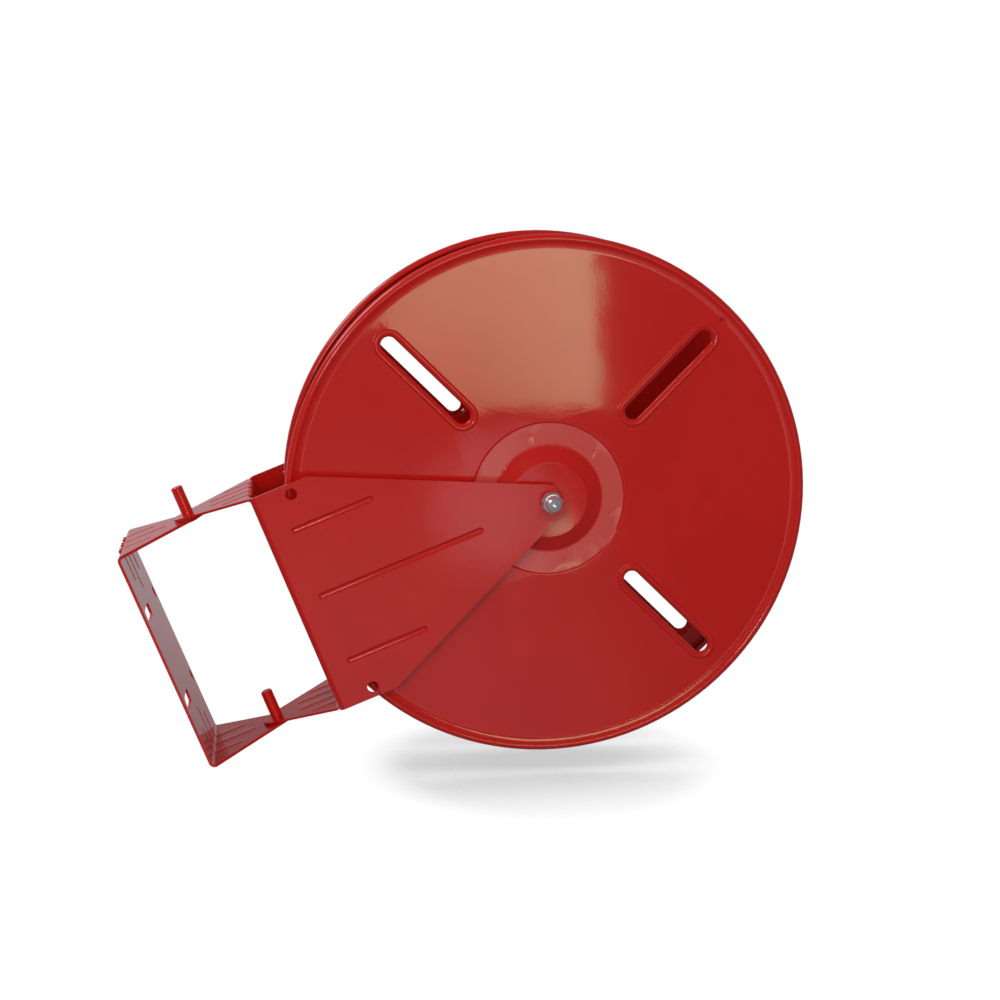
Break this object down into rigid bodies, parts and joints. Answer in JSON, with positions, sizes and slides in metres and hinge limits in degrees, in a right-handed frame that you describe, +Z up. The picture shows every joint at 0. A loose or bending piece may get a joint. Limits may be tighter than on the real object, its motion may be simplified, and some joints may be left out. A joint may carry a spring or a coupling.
{
  "type": "fire hose reel",
  "caption": "Wall-hung fire hose reel: an empty round drum with slotted discs turns in a pressed fork that swings on a C-shaped wall bracket.",
  "frame": {"origin": "centre of the wall bracket's back face", "axes": "+X away from the wall, +Z up along the hinge pins, drum axle along Y with the supply inlet on +Y"},
  "size_m": [0.695, 0.1915, 0.54],
  "materials": {
    "red_paint": "glossy powder coat, slight orange peel",
    "bright_steel": "bright plated",
    "zinc_steel": "zinc plated",
    "brass": "machined",
    "nylon": "natural nylon",
    "rubber": "matt"
  },
  "bodies": {
    "bracket": {"wall_bracket": "red_paint", "upper_pin": "red_paint", "lower_pin": "red_paint", "upper_pin_washer": "nylon", "lower_pin_washer": "nylon"},
    "fork": {"yoke": "red_paint", "stub_axle": "zinc_steel", "stub_washer": "nylon", "nut_washer": "zinc_steel", "dome_nut": "bright_steel", "inlet_pipe": "brass", "inlet_washer": "nylon", "inlet_nut": "brass", "seal_rings": "rubber", "thrust_washer": "nylon"},
    "drum": {"front_disc": "red_paint", "rear_disc": "red_paint", "drum_core": "red_paint", "bearing_housing": "red_paint", "bearing_bush": "nylon", "waterway": "brass", "waterway_plug": "brass", "waterway_screws": "zinc_steel", "outlet_elbow": "brass", "hose_tail": "brass"}
  },
  "joints": [
    {"name": "fork_swing", "type": "hinge", "parent": "bracket", "child": "fork", "pos_m": [0.0755, 0, 0.0038], "axis": [0, 0, 1], "range_deg": [-80, 80]},
    {"name": "drum_spin", "type": "hinge", "parent": "fork", "child": "drum", "pos_m": [0.425, 0, 0.0038], "axis": [0, 1, 0], "continuous": true}
  ]
}
